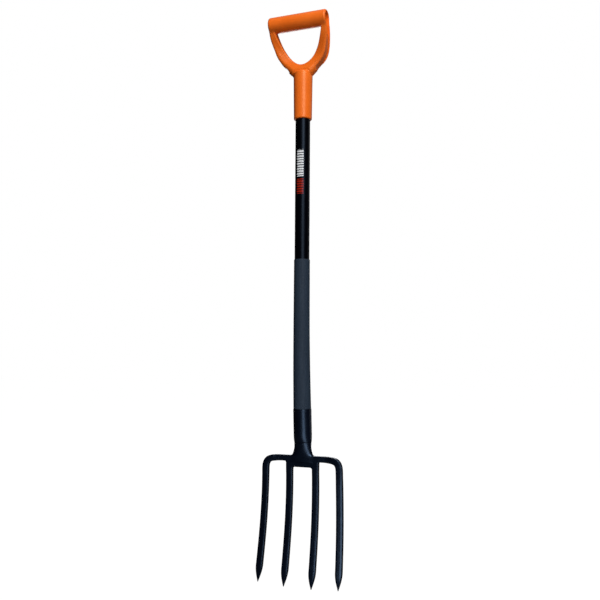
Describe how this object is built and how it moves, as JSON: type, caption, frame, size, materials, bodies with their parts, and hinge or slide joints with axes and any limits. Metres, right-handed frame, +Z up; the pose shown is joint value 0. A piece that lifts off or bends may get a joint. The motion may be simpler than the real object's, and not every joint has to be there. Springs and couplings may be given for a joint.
{
  "type": "digging fork",
  "caption": "Long digging fork with a forward-leaning D-handle, a round tube shaft with a grip sleeve, and a head of curved pointed tines below a flat shouldered crown.",
  "frame": {"origin": "middle of the fork's bounding box on the ground under the tine points", "axes": "+Z up the shaft from the tine points to the D-handle, X across the tines, -Y towards the front, which the tine points curve to"},
  "size_m": [0.1838, 0.0812, 1.192],
  "materials": {
    "handle_plastic": "satin moulded orange plastic with a fine grain",
    "shaft_paint": "smooth satin black powder coat on steel tube",
    "sleeve_rubber": "matt dark blue-grey, finely ribbed round the tube",
    "head_paint": "glossy blue-black lacquer on forged steel",
    "rivet_steel": "zinc-plated steel"
  },
  "bodies": {
    "root": {"d_handle": "handle_plastic", "handle_rivet": "rivet_steel", "shaft_tube": "shaft_paint", "grip_sleeve": "sleeve_rubber", "head_socket": "head_paint", "socket_rivet": "head_paint", "crown_block": "head_paint", "inner_tine_left": "head_paint", "inner_tine_right": "head_paint", "outer_tine_left": "head_paint", "outer_tine_right": "head_paint"}
  },
  "joints": []
}
